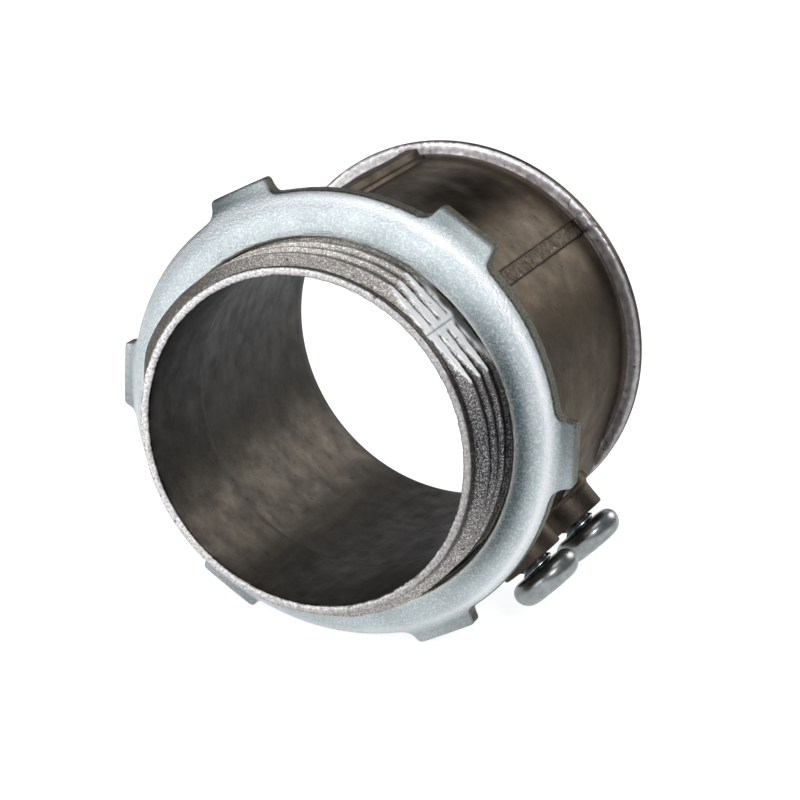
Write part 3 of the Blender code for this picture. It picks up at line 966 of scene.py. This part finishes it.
def connect(tree, shader, **sockets):
    """Links sockets to the shader's inputs, with an underscore for a space in an input's name."""
    for name, socket in sockets.items():
        tree.links.new(socket, shader.inputs[name.replace("_", " ")])


def film_colour(tree, clouds, grain, stain_and_shading, dark_reflection):
    """The brown-grey film outside the barrel, with its stains and grain, and a painted dark reflection."""
    film = mix(tree, clouds, *FILM)
    film = mix(tree, times(tree, stain_and_shading, 0.5), film, FILM_STAIN)
    film = mix(tree, ramp(tree, grain, 0.4, 0.7, 0.0, 0.55), film, FILM_GRAIN)
    return mix(tree, times(tree, dark_reflection, 0.92), film, PAINTED_DARK_REFLECTION)


def bore_colour(tree, place, clouds, stain_and_shading):
    """The bore, lighter low down as painted light, with dark scuffs that run along it."""
    upper = mix(tree, clouds, *BORE_UPPER_SHADED)
    lower = mix(tree, clouds, *BORE_LOWER_LIT)
    bore = mix(tree, times(tree, stain_and_shading, 0.95), upper, lower)
    along = stretched(tree, place, (1, 0.12, 1))
    streak = ramp(tree, noise(tree, along, 1.1), 0.35, 0.65)
    scuffs = times(tree, mask(tree, "scuffed"), ramp(tree, streak, 0.2, 0.9, 0.0, 0.6))
    return mix(tree, scuffs, bore, BORE_SCUFF)


def strip_colour(tree, place):
    """The rough skin of the parting strips, mottled and with a few bright spots."""
    mottle = ramp(tree, noise(tree, place, 0.7, 4, 0.75), 0.42, 0.66)
    spots = ramp(tree, noise(tree, place, 0.55, 2), 0.66, 0.72)
    return mix(tree, spots, mix(tree, mottle, *STRIP_SKIN), STRIP_SPOT)


def thread_colour(tree, place, stain_and_shading):
    """Sparkling zinc, duller at the right with painted shade."""
    glints = ramp(tree, noise(tree, place, 0.17, 3, 0.75), 0.5, 0.64)
    return mix(tree, glints, mix(tree, stain_and_shading, *THREAD_BODY), mix(tree, stain_and_shading, *THREAD_GLINT))


def flat_colour(tree, place):
    """The thread's flats, scraped bright round the axis."""
    around = stretched(tree, place, (0.25, 3.0, 0.25))
    return mix(tree, ramp(tree, noise(tree, around, 0.6, 2), 0.38, 0.5), *FLAT_SCRAPED)


def cast_zinc():
    material, tree, shader, place = new_material("cast_zinc_looks")
    bright, stain_and_shading, bore, strip, thread, flat, dark_reflection = (
        mask(tree, name) for name in ("bright", "stain_and_shading", "bore", "strip", "thread", "flat", "dark_reflection")
    )
    clouds = ramp(tree, noise(tree, place, 4.5, 5, 0.62), 0.3, 0.7)
    grain = noise(tree, place, 0.3, 3, 0.7)

    colour = film_colour(tree, clouds, grain, stain_and_shading, dark_reflection)
    colour = mix(tree, bore, colour, bore_colour(tree, place, clouds, stain_and_shading))
    colour = mix(tree, strip, colour, strip_colour(tree, place))
    colour = mix(tree, bright, colour, mix(tree, ramp(tree, grain, 0.36, 0.62), *RIM_SILVER))
    # The flange face's own pale colour, with painted light from its mask that makes it paler at the top.
    pearl = mix(tree, ramp(tree, noise(tree, place, 0.7), 0.35, 0.6), *FLANGE_PEARL)
    colour = mix(tree, mask(tree, "face"), colour, pearl)
    colour = mix(tree, thread, colour, thread_colour(tree, place, stain_and_shading))
    colour = mix(tree, flat, colour, flat_colour(tree, place))
    specks = ramp(tree, noise(tree, place, 0.8, 2, 0.5), 0.67, 0.725)
    colour = mix(tree, times(tree, specks, 0.6), colour, SPECK)
    # Painted shade in the thread's valleys and creases, under the nut and on the first turn, with darker
    # lines by the strips and ribs.
    colour = mix(tree, times(tree, mask(tree, "groove"), 0.94), colour, GROOVE_SHADE)

    # Less is reflected at a slant, so that the brown stays brown there.
    tint = mix(tree, dark_reflection, FILM_SLANT, DARK_REFLECTION_SLANT)
    tint = mix(tree, maths(tree, "MAXIMUM", bore, thread), tint, METAL_SLANT)

    rough = ramp(tree, noise(tree, place, 2.5), 0.3, 0.7, 0.36, 0.52)
    rough = maths(tree, "ADD", rough, times(tree, flat, 0.12))
    metal = maths(tree, "SUBTRACT", 1.0, times(tree, flat, 0.9))
    metal = maths(tree, "SUBTRACT", metal, times(tree, bright, 0.4))

    worked = maths(tree, "ADD", times(tree, bright, 0.3), times(tree, thread, 0.35))
    worked = maths(tree, "SUBTRACT", worked, times(tree, flat, 0.25))
    worked = maths(tree, "ADD", worked, times(tree, strip, 0.4))
    normal = bump(tree, times(tree, grain, maths(tree, "ADD", 0.17, worked)), 0.12, 0.9)
    normal = bump(tree, noise(tree, place, 0.12, 2), 0.012, 0.6, normal)
    normal = bump(tree, noise(tree, place, 3.5, 2), 0.08, 0.4, normal)

    connect(tree, shader, Base_Color=colour, Specular_Tint=tint, Metallic=metal)
    connect(tree, shader, Roughness=rough, Normal=normal)
    return material


def zinc_plate():
    material, tree, shader, place = new_material("zinc_plate_looks")
    grain = noise(tree, place, 0.26, 3, 0.7)
    cloud = ramp(tree, noise(tree, place, 5, 3, 0.55), 0.3, 0.7)
    face = mix(tree, ramp(tree, grain, 0.48, 0.61, 0.0, 0.52), mix(tree, cloud, *PLATE), PLATE_GLINT)
    # Painted dark reflection in the dish, painted highlights on the fold and lip, and painted shade on the
    # lugs.
    shadow = times(tree, mask(tree, "dish"), ramp(tree, grain, 0.25, 0.7, 1.0, 0.75))
    face = mix(tree, shadow, face, PLATE_DISH_REFLECTION)
    face = mix(tree, times(tree, mask(tree, "fold"), 0.85), face, PLATE_FOLD_HIGHLIGHT)
    face = mix(tree, mask(tree, "lug"), face, PLATE_LUG_SHADE)
    face = mix(tree, times(tree, mask(tree, "lip"), 0.8), face, PLATE_LIP_HIGHLIGHT)
    colour = mix(tree, mask(tree, "edge"), face, mix(tree, ramp(tree, grain, 0.4, 0.6), *SHEARED_STEEL))
    rough = ramp(tree, noise(tree, place, 1.2), 0.3, 0.7, 0.28, 0.40)
    normal = bump(tree, grain, 0.15, 1.0)
    normal = bump(tree, noise(tree, place, 2.2), 0.05, 0.5, normal)
    connect(tree, shader, Base_Color=colour, Roughness=rough, Normal=normal)
    return material


def bright_plate():
    material, tree, shader, place = new_material("bright_plate_looks")
    cloud = ramp(tree, noise(tree, place, 1.6, 3, 0.55), 0.3, 0.7)
    rough = ramp(tree, noise(tree, place, 0.9), 0.3, 0.7, 0.24, 0.34)
    normal = bump(tree, noise(tree, place, 1.3, 2), 0.03, 0.5)
    connect(tree, shader, Base_Color=mix(tree, cloud, *SCREW_PLATE), Roughness=rough, Normal=normal)
    return material


# ---------------------------------------------------------------- studio

def direction(azimuth, elevation):
    """A unit vector from the object, from angles in radians."""
    return Vector((
        math.sin(azimuth) * math.cos(elevation),
        -math.cos(azimuth) * math.cos(elevation),
        math.sin(elevation),
    ))


def make_floor():
    """White paper that glows a little, more for the camera than on the object."""
    mesh = bpy.data.meshes.new("floor")
    corners = [(x * FLOOR_HALF, y * FLOOR_HALF, 0) for x, y in ((-1, -1), (1, -1), (1, 1), (-1, 1))]
    mesh.from_pydata(corners, [], [(0, 1, 2, 3)])
    floor = bpy.data.objects.new("floor", mesh)
    floor.location.z = -FLOOR_DROP
    bpy.context.scene.collection.objects.link(floor)
    material = bpy.data.materials.new("floor_paper")
    material.use_nodes = True
    tree = material.node_tree
    shader = tree.nodes["Principled BSDF"]
    shader.inputs["Base Color"].default_value = FLOOR_PAPER
    shader.inputs["Roughness"].default_value = 1.0
    shader.inputs["Specular IOR Level"].default_value = 0.0
    shader.inputs["Emission Color"].default_value = FLOOR_GLOW
    seen = add_node(tree, "ShaderNodeLightPath").outputs["Is Camera Ray"]
    glow = ramp(tree, seen, 0, 1, FLOOR_GLOW_ON_OBJECT, FLOOR_GLOW_SEEN)
    connect(tree, shader, Emission_Strength=glow)
    mesh.materials.append(material)


def make_light(name, azimuth, elevation, distance, size, power, colour):
    """A soft round light that faces the object."""
    light = bpy.data.lights.new(name, "AREA")
    light.shape = "DISK"
    light.size = size
    light.energy = power
    light.color = colour
    obj = bpy.data.objects.new(name, light)
    bpy.context.scene.collection.objects.link(obj)
    way = direction(math.radians(azimuth), math.radians(elevation))
    obj.location = Vector((0, 0, AXIS_HEIGHT * MM)) + way * distance
    obj.rotation_euler = way.to_track_quat("Z", "Y").to_euler()


def make_world():
    """White where the camera sees it, and dim and bluish where it lights the object."""
    world = bpy.data.worlds.new("studio")
    bpy.context.scene.world = world
    world.use_nodes = True
    tree = world.node_tree
    tree.nodes.clear()
    seen = add_node(tree, "ShaderNodeBackground", {"Color": WORLD_SEEN, "Strength": 1.0})
    dim = add_node(
        tree, "ShaderNodeBackground", {"Color": WORLD_ON_OBJECT, "Strength": WORLD_GLOW_ON_OBJECT}
    )
    path = add_node(tree, "ShaderNodeLightPath")
    both = add_node(tree, "ShaderNodeMixShader", {"Fac": path.outputs["Is Camera Ray"]})
    tree.links.new(dim.outputs[0], both.inputs[1])
    tree.links.new(seen.outputs[0], both.inputs[2])
    out = add_node(tree, "ShaderNodeOutputWorld")
    tree.links.new(both.outputs[0], out.inputs["Surface"])


def make_camera():
    azimuth = math.radians(CAMERA_AZIMUTH)
    roll = math.radians(CAMERA_ROLL)
    back = direction(azimuth, math.radians(CAMERA_ELEVATION))
    level = Vector((math.cos(azimuth), math.sin(azimuth), 0))
    upright = back.cross(level)
    right = level * math.cos(roll) + upright * math.sin(roll)
    up = upright * math.cos(roll) - level * math.sin(roll)
    aim = Vector((0, 0, AXIS_HEIGHT * MM)) + CAMERA_AIM[0] * level + CAMERA_AIM[1] * upright
    camera = bpy.data.cameras.new("camera")
    camera.lens = CAMERA_LENS
    camera.sensor_width = 36
    camera.clip_start = 0.01
    camera.clip_end = 20
    obj = bpy.data.objects.new("camera", camera)
    bpy.context.scene.collection.objects.link(obj)
    turn = Matrix((right, up, back)).transposed().to_4x4()
    obj.matrix_world = Matrix.Translation(aim + back * CAMERA_DISTANCE) @ turn
    bpy.context.scene.camera = obj


# ---------------------------------------------------------------- the scene

def finish_piece(piece, body, material):
    """Gives a finished piece its material, and puts it in the place of the CAD node it rides on."""
    piece.data.materials.clear()
    piece.data.materials.append(material)
    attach(piece, body)
    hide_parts(body)


make_camera()
finish_piece(make_body(), "connector_body", cast_zinc())
finish_piece(make_nut(), "locknut", zinc_plate())
screw_looks = bright_plate()
for screw_name, screw_place in SCREWS.items():
    finish_piece(make_screw(screw_name, screw_place), screw_name, screw_looks)
make_floor()
make_world()
for light_name, settings in LIGHTS.items():
    make_light(light_name, *settings)
bpy.context.scene.view_settings.view_transform = "Standard"
